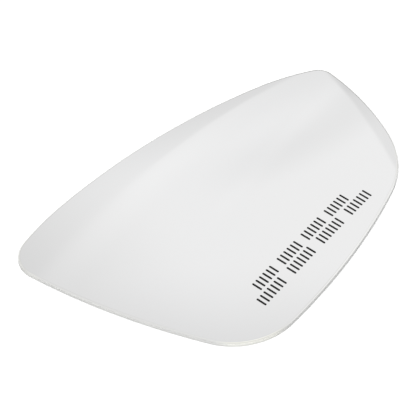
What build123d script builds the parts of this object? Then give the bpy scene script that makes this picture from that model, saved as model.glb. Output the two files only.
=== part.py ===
# Door mirror glass of a car: one sheet of glass, bent to a sphere, silvered and ground at the edge.
#
# X runs along the width, from the inner side next to the car to the outer side.
# Y runs up the height of the mirror in use, and +Z is the way the mirror looks.
# The glass lies as it does on a bench, mirror side up, on three corners of its rim.
# The origin is in the middle of the outline, on the plane that the glass lies on.

import os

from build123d import *

# Glass sheet
glass_thickness = 2.3
mirror_radius = 1400.0          # radius of the sphere that the mirror side is part of
rim_round = 1.1                 # radius that the rim of the mirror side is ground to
back_arris = 0.5                # width of the bevel ground along the rim of the back

# Outline corners, before rounding
bottom_run = 122.8              # lower inner corner to lower outer corner, along the width
bottom_rise = 11.0              # how much higher the lower outer corner is
outer_rise = 64.9               # lower outer corner to upper outer corner, up the height
outer_lean = 29.7               # how far the outer side leans out towards its top
inner_rise = 111.8              # lower inner corner to upper inner corner, up the height
inner_lean = 27.4               # how far the inner side leans towards the car at its top

# Shoulders of the top side, where its long flat arc turns into a rounder one at each end
outer_shoulder_in = 30.7        # from the upper outer corner, along the width
outer_shoulder_up = 15.9        # above the upper outer corner
inner_shoulder_in = 38.6        # from the upper inner corner, along the width
inner_shoulder_up = 2.8         # above the upper inner corner

# Bow of each side, out from the straight line between its ends
bottom_bow = 6.5
outer_bow = 5.3
top_bow = 4.0
inner_bow = 5.9

# Corner radii
lower_inner_radius = 33.0
lower_outer_radius = 46.5
upper_outer_radius = 8.0
upper_inner_radius = 13.0

# Outline corners and shoulders, measured from the lower inner corner
lower_inner = Vector(0, 0)
lower_outer = lower_inner + Vector(bottom_run, bottom_rise)
upper_outer = lower_outer + Vector(outer_lean, outer_rise)
upper_inner = lower_inner + Vector(-inner_lean, inner_rise)
outer_shoulder = upper_outer + Vector(-outer_shoulder_in, outer_shoulder_up)
inner_shoulder = upper_inner + Vector(inner_shoulder_in, inner_shoulder_up)
corner_radii = [
    (lower_inner, lower_inner_radius),
    (lower_outer, lower_outer_radius),
    (upper_outer, upper_outer_radius),
    (upper_inner, upper_inner_radius),
]

# Outline: four bowed sides, the top one in three arcs that run into each other
with BuildSketch() as outline:
    with BuildLine():
        SagittaArc(lower_inner, lower_outer, -bottom_bow)
        SagittaArc(lower_outer, upper_outer, -outer_bow)
        top = SagittaArc(outer_shoulder, inner_shoulder, -top_bow)
        TangentArc(outer_shoulder, upper_outer, tangent=-(top % 0))
        TangentArc(inner_shoulder, upper_inner, tangent=top % 1)
        SagittaArc(upper_inner, lower_inner, -inner_bow)
    make_face()
    for corner, radius in corner_radii:
        fillet(outline.vertices().sort_by_distance(corner)[0], radius)

middle = outline.sketch.bounding_box().center()

# The three corners that the glass lies on are as far as each other from the crown of its sphere.
# Each pass puts the crown in the middle of the points that were farthest from it.
crown_passes = 6
crown = middle
rim_arcs = outline.edges().filter_by(GeomType.CIRCLE)
rest_arcs = [rim_arcs.sort_by_distance(corner)[0] for corner in (lower_inner, upper_outer, upper_inner)]
for crown_pass in range(crown_passes):
    reaches = [arc.arc_center - crown for arc in rest_arcs]
    feet = [crown + reach.normalized() * (reach.length + arc.radius) for reach, arc in zip(reaches, rest_arcs)]
    crown = ThreePointArc(*feet).arc_center
rest_radius = (feet[0] - crown).length - back_arris

# The sphere's centre is as deep as puts the back of the glass on the bench at those corners
back_radius = mirror_radius - glass_thickness
centre_depth = (back_radius**2 - rest_radius**2) ** 0.5
crown_height = mirror_radius - centre_depth
sphere_centre = crown - middle + Vector(0, 0, -centre_depth)

# The sphere's poles are turned level, so that none lies in the glass
level_poles = (0, 90, 0)

# Mirror glass: the outline cut through the bent sheet, then both rims ground
with BuildPart() as mirror_glass:
    with BuildSketch(Plane(origin=(-middle.X, -middle.Y, -glass_thickness))):
        add(outline.sketch)
    extrude(amount=glass_thickness + crown_height)
    with Locations(sphere_centre):
        Sphere(mirror_radius, rotation=level_poles, mode=Mode.INTERSECT)
        Sphere(back_radius, rotation=level_poles, mode=Mode.SUBTRACT)
    fillet(mirror_glass.faces().filter_by(GeomType.SPHERE).sort_by(Axis.Z)[-1].edges(), rim_round)
    chamfer(mirror_glass.faces().filter_by(GeomType.SPHERE).sort_by(Axis.Z)[0].edges(), back_arris)

mirror_glass.part.label = "mirror_glass"

os.makedirs("parts", exist_ok=True)
export_step(mirror_glass.part, "parts/mirror_glass.step")
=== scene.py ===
"""Looks of a car door mirror glass: a silvered sheet, its ground edge and painted back, in a white studio.

All lengths are in metres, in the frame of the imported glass: X along its width, Y up its height and Z out of
the mirror.
"""
import math
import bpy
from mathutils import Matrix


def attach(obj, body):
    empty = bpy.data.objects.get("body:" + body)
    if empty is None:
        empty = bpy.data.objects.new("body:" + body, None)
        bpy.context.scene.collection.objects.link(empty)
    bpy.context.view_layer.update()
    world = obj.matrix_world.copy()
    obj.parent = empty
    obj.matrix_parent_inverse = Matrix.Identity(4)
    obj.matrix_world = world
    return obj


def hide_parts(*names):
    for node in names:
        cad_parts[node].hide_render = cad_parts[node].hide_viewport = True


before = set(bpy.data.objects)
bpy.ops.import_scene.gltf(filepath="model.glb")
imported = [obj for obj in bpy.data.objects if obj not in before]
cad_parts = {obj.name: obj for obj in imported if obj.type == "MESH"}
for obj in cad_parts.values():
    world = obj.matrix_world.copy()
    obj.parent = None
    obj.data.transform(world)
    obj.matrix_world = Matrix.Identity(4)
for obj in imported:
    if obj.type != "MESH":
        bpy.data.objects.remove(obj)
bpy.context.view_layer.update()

from types import SimpleNamespace

import bpy
import numpy as np
from mathutils import Vector

MM = 0.001

# Camera, as the photograph was taken: its azimuth turns its heading from +Y, and the picture is square
PICTURE_PIXELS = 416
FOCAL_PIXELS = 1600
SENSOR_WIDTH = 36.0             # in millimetres, as Blender takes it
CAMERA_AZIMUTH = math.radians(-52.05)
CAMERA_ELEVATION = math.radians(48.05)
CAMERA_DISTANCE = 697.9 * MM
CAMERA_TARGET = Vector((-12.22 * MM, 8.90 * MM, 0.0))

# Directions as someone behind the camera has them
AHEAD = Vector((-math.sin(CAMERA_AZIMUTH), math.cos(CAMERA_AZIMUTH), 0.0))
TO_RIGHT = Vector((math.cos(CAMERA_AZIMUTH), math.sin(CAMERA_AZIMUTH), 0.0))
UP = Vector((0.0, 0.0, 1.0))

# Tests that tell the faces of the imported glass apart, by the upward part of their normals and by their height
FACE_SLOPE = 0.9975
BEVEL_SLOPE = (-0.9, -0.5)
WALL_SLOPE = 0.15
WALL_SHARE = 0.2                # a wall face is at least this share of the thickness high
SAME_POINT = 0.01 * MM          # rim points that are nearer than this are one

# Sheet mesh, in rings of points from the middle of the mirror side round to the middle of the back
RIM_POINTS = 640
FRONT_RINGS = 36
BACK_RINGS = 16
ROUND_STEPS = 12                # rows of faces on the rounded rim
CURVE_STEPS = 24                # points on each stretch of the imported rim, from which even ones are taken
GUARD_RING = 0.1 * MM           # how close to their boundary the bent sides have their last full ring
SHARP_TURN = math.radians(30)   # faces that meet at more than this have a sharp edge between them
ROUND_LEVEL = FRONT_RINGS       # ring that the rounded rim begins at
WALL_LEVEL = ROUND_LEVEL + ROUND_STEPS
BACK_LEVEL = WALL_LEVEL + 2     # past the wall and the bevel under it
FACE_SLOT, ROUND_SLOT, EDGE_SLOT, BACK_SLOT = range(4)

# Corners of the outline, where the ground edge is painted paler as a highlight
SIDE_RADIUS = 50.0 * MM         # an outline that bends tighter than this begins to count as a corner
CORNER_RADIUS = 35.0 * MM       # and is one wholly at this radius
CORNER_BLEND = 14               # rim points over which corners and sides run into each other, each way
TIGHT_RADIUS = 25.0 * MM        # a corner that is tighter than this
TIGHT_SHARE = 0.25              # counts as this much of one

# Marks printed near the lower edge: two rows of plain strokes in equal groups
STROKE_HEIGHT = 5.0 * MM
STROKE_WIDTH = 0.95 * MM
STROKE_PITCH = 2.35 * MM
STROKE_PRINT = 0.02 * MM        # thickness of the print
STROKE_END_STEPS = 6
MARK_ROWS = [
    {"left": -37.4 * MM, "foot": -38.7 * MM, "strokes": 6, "gap": 4.45 * MM},
    {"left": -42.5 * MM, "foot": -44.8 * MM, "strokes": 7, "gap": 5.9 * MM},
]
MARK_GROUPS = 4

# Shades: each surface wanders between two that are close to each other
SILVER = ((0.852, 0.853, 0.860), (0.868, 0.868, 0.864))
# The corner shades of the edge are paler than the side shades: a painted highlight round the corners
COATED_EDGE = {
    "sides": ((0.87, 0.87, 0.858), (0.90, 0.90, 0.888)),
    "corners": ((0.935, 0.935, 0.878), (0.965, 0.965, 0.908)),
}
BARE_EDGE = {
    "sides": ((0.525, 0.525, 0.515), (0.565, 0.565, 0.555)),
    "corners": ((0.67, 0.67, 0.63), (0.71, 0.71, 0.67)),
}
GROUND_EDGE = {
    "sides": ((0.545, 0.545, 0.535), (0.585, 0.585, 0.575)),
    "corners": ((0.64, 0.64, 0.608), (0.68, 0.68, 0.648)),
}
BACK_GREY = ((0.11, 0.115, 0.12), (0.15, 0.155, 0.16))
PRINT_BLACK = ((0.008, 0.008, 0.008), (0.03, 0.03, 0.029))

# Places on the rounded rim, from 0 at the wall to 1 at the mirror side
COAT_END = (0.33, 0.43)         # the coating thins out between these
POLISH_END = (0.22, 0.5)        # and the grinding blurs its reflections between these

# Values that most of a noise lies between, and those of its middle part
NOISE_RANGE = (0.3, 0.7)
NOISE_MIDDLE = (0.35, 0.65)

# A Mix node's sockets for colours, which share their names with others
MIX_FIRST, MIX_SECOND, MIX_RESULT = 6, 7, 2

# Studio: light levels are those of a white surface that faces the light
TENT_LIGHT = 0.994
FILL_LIGHT = 0.24               # share of the tent that lights the object
LAMPS = {
    "key_lamp": {"place": (190.0, 48.0), "light": 0.95},
    "back_lamp": {"place": (15.0, 45.0), "light": 0.25},
}
LAMP_DISTANCE = 1.6
LAMP_SIZE = 0.45
FLOOR_REACH = 4.0
FLOOR_WHITE = 0.70
FLOOR_GLOW = 0.42               # what the floor adds to the light on it where it is seen
FLOOR_FADE = (0.3, 1.0)         # distances between which it turns to plain white, past the lamps' light

# Places in the tent, and those of the lamps, are an azimuth to the right of the camera's heading and
# an elevation, in degrees. A soft patch of the tent begins at one angle from its middle, is full within
# another, and changes the light by a share. From the camera, most show only in the edge of the glass.
TENT_PATCHES = {
    "roof behind": {"middle": (145.7, 79.2), "begins": 45.57, "full": 31.24, "change": -0.245},
    "low left side": {"middle": (-25.7, -23.2), "begins": 72.42, "full": 67.23, "change": -0.092},
    "low far wall": {"middle": (8.0, -15.0), "begins": 48.70, "full": 30.68, "change": -0.4},
    "roof's middle": {"middle": (145.7, 79.2), "begins": 38.28, "full": 30.68, "change": 0.12},
    "roof's left": {"middle": (-98.0, 78.0), "begins": 32.86, "full": 14.07, "change": 0.33},
    "roof's right": {"middle": (70.0, 62.0), "begins": 21.57, "full": 11.48, "change": 0.15},
    "right side ahead": {"middle": (60.0, 25.0), "begins": 30.68, "full": 14.07, "change": 0.09},
    "right side above": {"middle": (83.0, 42.0), "begins": 16.26, "full": 7.25, "change": 0.09},
    "right side behind": {"middle": (116.0, 24.0), "begins": 15.20, "full": 7.25, "change": -0.25},
    "low right side": {"middle": (106.0, -8.0), "begins": 28.36, "full": 16.26, "change": -0.38},
    "low right ahead": {"middle": (55.0, 6.0), "begins": 15.20, "full": 8.89, "change": -0.35},
    "left side behind": {"middle": (-112.0, 28.0), "begins": 36.87, "full": 18.19, "change": 0.10},
    "left side ahead": {"middle": (-55.0, 18.0), "begins": 33.90, "full": 18.19, "change": 0.20},
    "wall behind": {"middle": (192.0, 38.0), "begins": 31.79, "full": 18.19, "change": 0.03},
    "far wall's foot": {"middle": (9.0, 20.0), "begins": 15.85, "full": 7.25, "change": -0.28},
}


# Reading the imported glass

def read_glass(mesh):
    """The outline in plan, the mirror side's sphere, the thickness, the front round and the back bevel."""
    points = np.array([vertex.co for vertex in mesh.vertices], float)

    def corners(faces):
        return points[sorted({index for face in faces for index in face.vertices})]

    front = corners(face for face in mesh.polygons if face.normal.z > FACE_SLOPE)
    back = corners(face for face in mesh.polygons if face.normal.z < -FACE_SLOPE)
    terms = np.column_stack([2 * front, np.ones(len(front))])
    answer = np.linalg.lstsq(terms, (front**2).sum(1), rcond=None)[0]
    centre = answer[:3]
    radius = math.sqrt(answer[3] + centre @ centre)
    thickness = radius - np.linalg.norm(back - centre, axis=1).mean()

    # The back bevel runs between the back and the wall, so its outer line is the outline
    edge = corners(face for face in mesh.polygons if BEVEL_SLOPE[0] < face.normal.z < BEVEL_SLOPE[1])
    rise = edge[:, 2] - sphere_height(edge[:, :2], centre, radius - thickness)
    outer = rise > rise.mean()
    bevel = rise[outer].mean()
    rim = edge[outer][:, :2]
    rim = rim[np.argsort(np.arctan2(rim[:, 1], rim[:, 0]))]
    apart = np.linalg.norm(rim - np.roll(rim, 1, axis=0), axis=1) > SAME_POINT

    # The round reaches down to the top of the wall, less far where the mirror side slopes towards the rim
    steep = [face for face in mesh.polygons if abs(face.normal.z) < WALL_SLOPE]
    wall = [face for face in steep if np.ptp(points[list(face.vertices), 2]) > WALL_SHARE * thickness]
    wall_points = [points[list(face.vertices)] for face in wall]
    tops = np.array([own_points[own_points[:, 2].argmax()] for own_points in wall_points])
    facing = np.array([face.normal for face in wall])
    slope = ((tops - centre)[:, :2] * facing[:, :2]).sum(1) / radius
    drop = sphere_height(tops[:, :2], centre, radius) - tops[:, 2]
    rounding = np.median(drop / (1 - slope))
    return SimpleNamespace(
        rim=rim[apart], centre=centre, radius=radius, thickness=thickness, rounding=rounding, bevel=bevel
    )


def sphere_height(plan, centre, radius):
    """Height of the sphere over points in plan."""
    return centre[2] + np.sqrt(radius**2 - ((plan - centre[:2]) ** 2).sum(-1))


def on_sphere(plan, centre, radius, above=0.0):
    """Points in plan lifted onto the sphere, or a little above it."""
    return np.column_stack([plan, sphere_height(plan, centre, radius) + above])


def round_ring(rim, count):
    """A smooth closed curve through the rim points, as evenly spaced points and their outward normals.

    Each stretch of the rim is part of a circle, so its two end tangents lean equally from its chord.
    """
    total = len(rim)
    chord = np.roll(rim, -1, axis=0) - rim
    length = np.linalg.norm(chord, axis=1)
    chord_angle = np.unwrap(np.arctan2(chord[:, 1], chord[:, 0]))
    full_turn = np.zeros(total)
    full_turn[0] = 2 * math.pi
    angle_before = np.roll(chord_angle, 1) - full_turn

    # Equal leans alone let the tangents swing to and fro, so each is held weakly to the mean of its chords
    lean = np.eye(total) + np.roll(np.eye(total), 1, axis=1)
    wanted = 2 * chord_angle
    wanted[-1] -= 2 * math.pi
    mean_angle = (chord_angle + angle_before) / 2
    weak = 0.01
    system = np.vstack([lean, weak * np.eye(total)])
    tangent_angle = np.linalg.lstsq(system, np.concatenate([wanted, weak * mean_angle]), rcond=None)[0]
    tangent = np.column_stack([np.cos(tangent_angle), np.sin(tangent_angle)])

    part = np.linspace(0, 1, CURVE_STEPS, endpoint=False)[None, :, None]
    start, end = rim[:, None], np.roll(rim, -1, axis=0)[:, None]
    pull = length[:, None, None]
    leave, arrive = tangent[:, None] * pull, np.roll(tangent, -1, axis=0)[:, None] * pull
    curve = (
        (2 * part**3 - 3 * part**2 + 1) * start
        + (part**3 - 2 * part**2 + part) * leave
        + (3 * part**2 - 2 * part**3) * end
        + (part**3 - part**2) * arrive
    ).reshape(-1, 2)

    closed = np.vstack([curve, curve[:1]])
    along = np.concatenate([[0], np.cumsum(np.linalg.norm(np.diff(closed, axis=0), axis=1))])
    places = np.linspace(0, along[-1], count, endpoint=False)
    even = np.column_stack([np.interp(places, along, closed[:, k]) for k in range(2)])
    run = np.roll(even, -1, axis=0) - np.roll(even, 1, axis=0)
    outward = np.column_stack([run[:, 1], -run[:, 0]])
    return even, outward / np.linalg.norm(outward, axis=1, keepdims=True)


# Mirror sheet

def rounded_rim(rim, outward, glass):
    """Rings of the rounded front rim, from where it leaves the mirror side to where it meets the wall."""
    middle_radius = glass.radius - glass.rounding
    middle = on_sphere(rim - outward * glass.rounding, glass.centre, middle_radius)
    start = (middle - glass.centre) / middle_radius
    level = np.column_stack([outward, np.zeros(len(outward))])
    lean = (start * level).sum(1, keepdims=True)
    across = (level - lean * start) / np.sqrt(1 - lean**2)
    turns = [np.arccos(lean) * share for share in np.linspace(0, 1, ROUND_STEPS + 1)]
    return [middle + glass.rounding * (np.cos(turn) * start + np.sin(turn) * across) for turn in turns]


def bent_rings(line, outward, centre, radius, count):
    """Rings on a sphere, from near its middle to its boundary line in plan."""
    plan = line - outward * GUARD_RING
    shares = np.linspace(0, 1, count + 1)[1:]
    return [on_sphere(plan * share, centre, radius) for share in shares]


def sheet_rings(rim, outward, glass):
    """All rings of the sheet, from the mirror side over the ground edge to the back."""
    back_radius = glass.radius - glass.thickness
    front_round = rounded_rim(rim, outward, glass)
    front = bent_rings(front_round[0][:, :2], outward, glass.centre, glass.radius, FRONT_RINGS)
    wall_foot = on_sphere(rim, glass.centre, back_radius, glass.bevel)
    back_plan = rim - outward * glass.bevel
    back_rim = on_sphere(back_plan, glass.centre, back_radius)
    back = bent_rings(back_plan, outward, glass.centre, back_radius, BACK_RINGS)
    return front + front_round + [wall_foot, back_rim] + back[::-1]


def slot_after(level):
    """Material slot of the faces between a ring and the next one."""
    if level >= BACK_LEVEL:
        return BACK_SLOT
    if level >= WALL_LEVEL:
        return EDGE_SLOT
    if level >= ROUND_LEVEL:
        return ROUND_SLOT
    return FACE_SLOT


def sheet_faces(ring_count):
    """Faces between the rings and out to both middles, with the material slot of each."""
    faces, slots = [], []
    for k in range(RIM_POINTS):
        faces.append((0, 1 + k, 1 + (k + 1) % RIM_POINTS))
        slots.append(FACE_SLOT)
    for level in range(ring_count - 1):
        first = 1 + level * RIM_POINTS
        for k in range(RIM_POINTS):
            after = (k + 1) % RIM_POINTS
            faces.append((first + k, first + RIM_POINTS + k, first + RIM_POINTS + after, first + after))
            slots.append(slot_after(level))
    first = 1 + (ring_count - 1) * RIM_POINTS
    last = first + RIM_POINTS
    for k in range(RIM_POINTS):
        faces.append((first + (k + 1) % RIM_POINTS, first + k, last))
        slots.append(BACK_SLOT)
    return faces, slots


def neighbours(values, reach):
    """For each shift along the closed rim, the values that lie that far from each point."""
    return [np.roll(values, shift) for shift in range(-reach, reach + 1)]


def corner_highlight_share(rim, outward):
    """How far each rim point is in a corner, where the edge gets its painted highlight: 0 along the sides, 1 in
    a wide corner, less in a tight one.
    """
    run = np.linalg.norm(np.roll(rim, -1, axis=0) - rim, axis=1)
    turn = np.linalg.norm(np.roll(outward, -1, axis=0) - outward, axis=1) / run
    turn = np.mean(neighbours(turn, CORNER_BLEND), axis=0)
    side_turn, corner_turn = 1 / SIDE_RADIUS, 1 / CORNER_RADIUS
    share = np.clip((turn - side_turn) / (corner_turn - side_turn), 0, 1)
    tightest = np.max(neighbours(turn, 2 * CORNER_BLEND), axis=0)
    return np.where(tightest * TIGHT_RADIUS > 1, TIGHT_SHARE, 1.0) * share


def build_sheet(glass):
    """The glass as one closed mesh: a fine true sphere on both sides, with the ground edge between them."""
    rim, outward = round_ring(glass.rim, RIM_POINTS)
    rings = sheet_rings(rim, outward, glass)
    middle = np.zeros((1, 2))
    top = on_sphere(middle, glass.centre, glass.radius)
    under = on_sphere(middle, glass.centre, glass.radius - glass.thickness)
    points = np.vstack([top, *rings, under])
    faces, slots = sheet_faces(len(rings))
    mesh = bpy.data.meshes.new("mirror_sheet")
    mesh.from_pydata(points.tolist(), [], faces)
    mesh.polygons.foreach_set("material_index", slots)
    mesh.shade_smooth()
    mesh.set_sharp_from_angle(angle=SHARP_TURN)

    # What the materials of the edge go by: how far up the rounded rim a point is, and how far in a corner,
    # where the edge is painted paler as a highlight
    ring_coat = np.clip((WALL_LEVEL - np.arange(len(rings))) / ROUND_STEPS, 0, 1)
    coat = np.concatenate([[1.0], np.repeat(ring_coat, RIM_POINTS), [0.0]])
    corner = np.concatenate([[0.0], np.tile(corner_highlight_share(rim, outward), len(rings)), [0.0]])
    for name, values in (("coat", coat), ("corner", corner)):
        mesh.attributes.new(name, "FLOAT", "POINT").data.foreach_set("value", values)
    mesh.validate()
    return add_object("mirror_sheet", mesh)


def add_object(name, data):
    """A new object in the scene."""
    added = bpy.data.objects.new(name, data)
    bpy.context.scene.collection.objects.link(added)
    return added


# Printed marks

def stroke_outline():
    """Plan of one upright stroke with round ends, from the lower left corner of its box."""
    half = STROKE_WIDTH / 2
    outline = []
    for middle_y, start in ((STROKE_HEIGHT - half, 0.0), (half, math.pi)):
        for step in range(STROKE_END_STEPS + 1):
            angle = start + math.pi * step / STROKE_END_STEPS
            outline.append((half + half * math.cos(angle), middle_y + half * math.sin(angle)))
    return np.array(outline)


def stroke_feet():
    """The lower left corner of each stroke's box in plan, row by row and group by group."""
    for row in MARK_ROWS:
        group_run = (row["strokes"] - 1) * STROKE_PITCH + STROKE_WIDTH + row["gap"]
        for group in range(MARK_GROUPS):
            for stroke in range(row["strokes"]):
                yield np.array([row["left"] + group * group_run + stroke * STROKE_PITCH, row["foot"]])


def build_marks(glass):
    """Two rows of plain strokes, printed on the mirror side."""
    outline = stroke_outline()
    count = len(outline)
    points, faces = [], []
    for foot in stroke_feet():
        first = len(points)
        for proud in (0.0, STROKE_PRINT):
            points += on_sphere(outline + foot, glass.centre, glass.radius, proud).tolist()
        faces.append(tuple(first + count + k for k in range(count)))
        faces.append(tuple(first + k for k in reversed(range(count))))
        for k in range(count):
            after = (k + 1) % count
            faces.append((first + k, first + after, first + count + after, first + count + k))
    mesh = bpy.data.meshes.new("printed_marks")
    mesh.from_pydata(points, [], faces)
    mesh.validate()
    return add_object("printed_marks", mesh)


# Materials

class Nodes:
    """A short way to add nodes to a material or a world, and to join them."""

    def __init__(self, owner):
        owner.use_nodes = True
        self.tree = owner.node_tree
        self.tree.nodes.clear()

    def put(self, socket, value):
        """Joins a socket to the one that its value comes from, or sets the value on it."""
        if isinstance(value, bpy.types.NodeSocket):
            self.tree.links.new(value, socket)
        else:
            socket.default_value = value

    def add(self, kind, inputs=None, **settings):
        node = self.tree.nodes.new(kind)
        for name, value in settings.items():
            setattr(node, name, value)
        for name, value in (inputs or {}).items():
            self.put(node.inputs[name], value)
        return node

    def math(self, operation, *values):
        node = self.add("ShaderNodeMath", dict(enumerate(values)), operation=operation)
        return node.outputs[0]

    def smooth_step(self, value, low, high, to_low=0.0, to_high=1.0):
        node = self.add(
            "ShaderNodeMapRange",
            {"Value": value, "From Min": low, "From Max": high, "To Min": to_low, "To Max": to_high},
            interpolation_type="SMOOTHSTEP",
        )
        return node.outputs["Result"]

    def place(self):
        return self.add("ShaderNodeTexCoord").outputs["Object"]

    def noise(self, place, scale, detail):
        node = self.add("ShaderNodeTexNoise", {"Vector": place, "Scale": scale, "Detail": detail})
        return node.outputs["Fac"]

    def vary(self, noise, low, high):
        """A number that wanders between two with a noise."""
        return self.smooth_step(noise, *NOISE_RANGE, low, high)

    def blend(self, factor, low, high):
        ramp = self.add("ShaderNodeValToRGB", {"Fac": factor})
        for element, colour in zip(ramp.color_ramp.elements, (low, high)):
            element.color = (*colour, 1.0)
        return ramp.outputs["Color"]

    def mix(self, factor, first, second):
        inputs = {"Factor": factor, MIX_FIRST: first, MIX_SECOND: second}
        return self.add("ShaderNodeMix", inputs, data_type="RGBA").outputs[MIX_RESULT]

    def attribute(self, name):
        return self.add("ShaderNodeAttribute", attribute_name=name).outputs["Fac"]

    def edge_shade(self, grain, sides, corners):
        """Colour of the ground edge, paler round the corners as a painted highlight and warmer there, each
        between two shades.
        """
        return self.mix(self.attribute("corner"), self.blend(grain, *sides), self.blend(grain, *corners))

    def bump(self, height, distance, strength=1.0):
        node = self.add("ShaderNodeBump", {"Height": height, "Distance": distance, "Strength": strength})
        return node.outputs["Normal"]

    def surface(self, **inputs):
        shader = self.add("ShaderNodeBsdfPrincipled", inputs)
        self.add("ShaderNodeOutputMaterial", {"Surface": shader.outputs["BSDF"]})


def silvered_face():
    """Mirror coating on bent glass: nearly neutral, with faint waves and wiped haze."""
    material = bpy.data.materials.new("silvered_face")
    nodes = Nodes(material)
    place = nodes.place()
    tint = nodes.noise(place, scale=14.0, detail=3.0)
    haze = nodes.noise(place, scale=60.0, detail=4.0)
    wave = nodes.noise(place, scale=22.0, detail=1.0)
    nodes.surface(**{
        "Base Color": nodes.blend(tint, *SILVER),
        "Metallic": 1.0,
        "Roughness": nodes.vary(haze, 0.012, 0.03),
        "Normal": nodes.bump(wave, distance=0.02 * MM),
    })
    return material


def coated_round():
    """Rounded front rim: the coating turns over it, blurred by the grinding, and thins out to bare glass."""
    material = bpy.data.materials.new("coated_round")
    nodes = Nodes(material)
    coat = nodes.attribute("coat")
    grain = nodes.noise(nodes.place(), scale=2600.0, detail=3.0)
    cover = nodes.smooth_step(coat, *COAT_END)
    # Both edge colours carry the painted highlight: they are paler round the corners
    bare = nodes.edge_shade(grain, **BARE_EDGE)
    coated = nodes.edge_shade(grain, **COATED_EDGE)
    nodes.surface(**{
        "Base Color": nodes.mix(cover, bare, coated),
        "Metallic": cover,
        "Roughness": nodes.smooth_step(coat, *POLISH_END, to_low=0.3, to_high=0.06),
    })
    return material


def ground_edge():
    """Fine ground glass: pale, with grinding grain."""
    material = bpy.data.materials.new("ground_edge")
    nodes = Nodes(material)
    place = nodes.place()
    shade = nodes.noise(place, scale=90.0, detail=4.0)
    grain = nodes.noise(place, scale=4200.0, detail=3.0)
    nodes.surface(**{
        # Painted highlight: the ground edge is paler round the corners
        "Base Color": nodes.edge_shade(shade, **GROUND_EDGE),
        "Roughness": nodes.vary(grain, 0.32, 0.5),
        "Normal": nodes.bump(grain, distance=0.02 * MM, strength=0.6),
    })
    return material


def back_paint():
    """Grey protective paint over the silver, sprayed, with a slight grain."""
    material = bpy.data.materials.new("back_paint")
    nodes = Nodes(material)
    place = nodes.place()
    cloud = nodes.smooth_step(nodes.noise(place, scale=40.0, detail=4.0), *NOISE_MIDDLE)
    spray = nodes.noise(place, scale=1500.0, detail=3.0)
    nodes.surface(**{
        "Base Color": nodes.blend(cloud, *BACK_GREY),
        "Roughness": nodes.vary(spray, 0.45, 0.62),
        "Normal": nodes.bump(spray, distance=0.03 * MM, strength=0.5),
    })
    return material


def mark_print():
    """Matt black print, slightly uneven."""
    material = bpy.data.materials.new("mark_print")
    nodes = Nodes(material)
    cover = nodes.noise(nodes.place(), scale=900.0, detail=3.0)
    nodes.surface(**{
        "Base Color": nodes.blend(cover, *PRINT_BLACK),
        "Roughness": nodes.vary(cover, 0.55, 0.75),
        "Specular IOR Level": 0.15,
    })
    return material


# Light tent

def way(azimuth, elevation):
    """Direction of a place in the tent."""
    turn, rise = math.radians(azimuth), math.radians(elevation)
    level = math.cos(turn) * AHEAD + math.sin(turn) * TO_RIGHT
    return math.cos(rise) * level + math.sin(rise) * UP


def sky_circle(ends, bow):
    """Plane that cuts the sky in a circle through two places, bowed away from the zenith between them."""
    first, last = (way(*end) for end in ends)
    away = first.cross(last).normalized()
    if away.z > 0:
        away = -away
    middle = (first + last).normalized() * math.cos(math.radians(bow)) + away * math.sin(math.radians(bow))
    normal = (middle - first).cross(last - first).normalized()
    level = normal.dot(first)
    if normal.z > level:
        return -normal, -level
    return normal, level


class Tent:
    """Light of the studio's tent by direction: a plain level, changed where masks over the sky say so."""

    def __init__(self, nodes, level):
        self.nodes = nodes
        self.sky = nodes.add("ShaderNodeTexCoord").outputs["Generated"]
        self.light = level

    def reach(self, direction):
        node = self.nodes.add("ShaderNodeVectorMath", {0: self.sky, 1: direction}, operation="DOT_PRODUCT")
        return node.outputs["Value"]

    def edge(self, ends, bow, soft):
        """Mask: 0 on the zenith's side of a circle, 1 beyond it."""
        normal, level = sky_circle(ends, bow)
        spread = math.radians(soft)
        return self.nodes.smooth_step(self.reach(normal), level - spread, level + spread)

    def line(self, ends, bow, soft):
        """Mask: 1 on a circle, 0 away from it."""
        normal, level = sky_circle(ends, bow)
        off = self.nodes.math("ABSOLUTE", self.nodes.math("SUBTRACT", self.reach(normal), level))
        return self.nodes.smooth_step(off, 0.0, math.radians(soft), to_low=1.0, to_high=0.0)

    def towards(self, direction, begins, full):
        """Mask: 0 as far as one angle from a direction, 1 within the other, in degrees."""
        low, high = math.cos(math.radians(begins)), math.cos(math.radians(full))
        return self.nodes.smooth_step(self.reach(direction), low, high)

    def change(self, share, mask, *masks):
        """Makes the light this share brighter, or dimmer, where all the masks are."""
        for other in masks:
            mask = self.nodes.math("MULTIPLY", mask, other)
        factor = self.nodes.math("MULTIPLY_ADD", mask, share, 1.0)
        self.light = self.nodes.math("MULTIPLY", self.light, factor)


def hang_far_wall(tent):
    """The far wall, dimmer on its right, with a brighter lip of the roof along it."""
    far_edge = {"ends": ((6.54, 37.63), (-9.35, 48.70)), "bow": 0.29}
    right_part = tent.towards(TO_RIGHT, begins=97.82, full=87.54)
    lip = tent.line(ends=((4.95, 37.80), (-7.16, 48.49)), bow=0.03, soft=1.87)
    tent.change(-0.024, tent.edge(**far_edge, soft=0.5))
    tent.change(-0.088, tent.edge(**far_edge, soft=0.12), right_part)
    tent.change(0.025, lip)


def hang_side_walls(tent):
    """The left wall, the left side dimmer ahead, and the right wall, dimmer further down."""
    left_wall = tent.edge(ends=((-8.6, 46.35), (-19.2, 53.14)), bow=0.93, soft=3.1)
    left_side = tent.towards(way(-108.5, 18.4), begins=86.04, full=69.33)
    right_wall = tent.edge(ends=((10.35, 37.94), (15.54, 43.19)), bow=0.12, soft=0.10)
    further_down = tent.towards(-UP, begins=128.90, full=127.88)
    tent.change(-0.017, left_wall)
    tent.change(-0.12, left_side)
    tent.change(-0.136, left_side, tent.towards(AHEAD, begins=120.0, full=90.0))
    tent.change(-0.101, right_wall)
    tent.change(-0.08, right_wall, further_down, tent.towards(AHEAD, begins=56.63, full=45.57))


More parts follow.
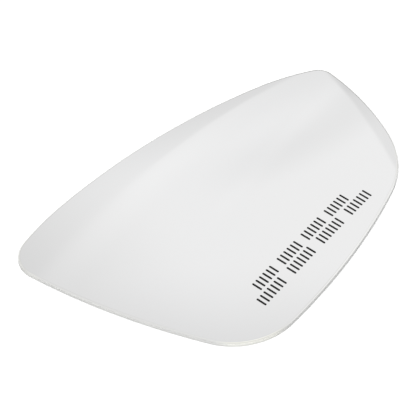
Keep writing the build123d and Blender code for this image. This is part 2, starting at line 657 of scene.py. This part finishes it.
def fold_roof(tent):
    """A fold in the roof on the right: a shaded dip with a bright ridge beside it."""
    run = tent.towards(TO_RIGHT, begins=91.66, full=84.43)
    dip = tent.line(ends=((11.47, 40.13), (2.98, 46.13)), bow=-0.49, soft=0.85)
    ridge = tent.line(ends=((10.62, 37.19), (7.07, 42.65)), bow=0.0, soft=0.95)
    tent.change(-0.072, dip, run)
    tent.change(0.019, ridge, run)


def light_wall_behind(tent):
    """A soft bright strip up the wall behind the camera."""
    strip = tent.line(ends=((179.0, 10.0), (179.0, 50.0)), bow=0.0, soft=32.0)
    tent.change(0.16, strip, tent.towards(-AHEAD, begins=90.0, full=66.42))


def build_world():
    """A white light tent, as the mirror shows it: a roof with soft edges and one fold, and dimmer walls."""
    world = bpy.data.worlds.new("light_tent")
    bpy.context.scene.world = world
    nodes = Nodes(world)
    tent = Tent(nodes, TENT_LIGHT)
    hang_far_wall(tent)
    hang_side_walls(tent)
    fold_roof(tent)
    light_wall_behind(tent)
    for patch in TENT_PATCHES.values():
        tent.change(patch["change"], tent.towards(way(*patch["middle"]), patch["begins"], patch["full"]))

    path = nodes.add("ShaderNodeLightPath").outputs
    light = nodes.math("MAXIMUM", tent.light, path["Is Camera Ray"])
    strength = nodes.math("MULTIPLY_ADD", seen_ray(nodes), 1.0 - FILL_LIGHT, FILL_LIGHT)
    background = nodes.add("ShaderNodeBackground", {"Color": light, "Strength": strength})
    nodes.add("ShaderNodeOutputWorld", {"Surface": background.outputs["Background"]})


def seen_ray(nodes):
    """1 for what the camera sees straight, in the mirror or through glass, 0 for light on things."""
    path = nodes.add("ShaderNodeLightPath").outputs
    seen = nodes.math("MAXIMUM", path["Is Camera Ray"], path["Is Glossy Ray"])
    return nodes.math("MAXIMUM", seen, path["Is Transmission Ray"])


# Floor, lamps and camera

def build_floor():
    """White floor under the glass, which keeps its shadow."""
    size = FLOOR_REACH
    corners = [(-size, -size, 0), (size, -size, 0), (size, size, 0), (-size, size, 0)]
    mesh = bpy.data.meshes.new("floor")
    mesh.from_pydata(corners, [], [(0, 1, 2, 3)])
    floor = add_object("floor", mesh)
    material = bpy.data.materials.new("white_floor")
    nodes = Nodes(material)
    distance = nodes.add("ShaderNodeVectorMath", {0: nodes.place()}, operation="LENGTH").outputs["Value"]
    glow = nodes.math("MULTIPLY", seen_ray(nodes), nodes.smooth_step(distance, *FLOOR_FADE, FLOOR_GLOW, 1.0))
    nodes.surface(**{
        "Base Color": (FLOOR_WHITE, FLOOR_WHITE, FLOOR_WHITE, 1.0),
        "Roughness": 0.9,
        "Specular IOR Level": 0.1,
        "Emission Color": (1.0, 1.0, 1.0, 1.0),
        "Emission Strength": glow,
    })
    mesh.materials.append(material)


def build_lamp(name, stand, light):
    """A soft lamp that looks at the glass, with the power for this light. The mirror shows the tent alone."""
    lamp_data = bpy.data.lights.new(name, "AREA")
    lamp_data.shape = "SQUARE"
    lamp_data.size = LAMP_SIZE
    lamp_data.energy = light * (math.pi * LAMP_DISTANCE) ** 2
    lamp = add_object(name, lamp_data)
    lamp.visible_glossy = False
    lamp.location = stand * LAMP_DISTANCE
    lamp.rotation_euler = stand.to_track_quat("Z", "Y").to_euler()


def build_camera():
    """The camera where the photograph was taken from."""
    camera_data = bpy.data.cameras.new("photo_camera")
    camera_data.sensor_fit = "HORIZONTAL"
    camera_data.sensor_width = SENSOR_WIDTH
    camera_data.lens = SENSOR_WIDTH * FOCAL_PIXELS / PICTURE_PIXELS
    camera = add_object("photo_camera", camera_data)
    back = -math.cos(CAMERA_ELEVATION) * AHEAD + math.sin(CAMERA_ELEVATION) * UP
    camera.location = CAMERA_TARGET + back * CAMERA_DISTANCE
    camera.rotation_euler = back.to_track_quat("Z", "Y").to_euler()
    bpy.context.scene.camera = camera


# Putting the scene together

glass = read_glass(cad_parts["mirror_glass"].data)
sheet = build_sheet(glass)
for material in (silvered_face(), coated_round(), ground_edge(), back_paint()):
    sheet.data.materials.append(material)
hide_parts("mirror_glass")
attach(sheet, "root")

marks = build_marks(glass)
marks.data.materials.append(mark_print())
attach(marks, "root")

build_world()
build_floor()
for name, lamp in LAMPS.items():
    build_lamp(name, way(*lamp["place"]), lamp["light"])
build_camera()
bpy.context.scene.view_settings.view_transform = "Standard"
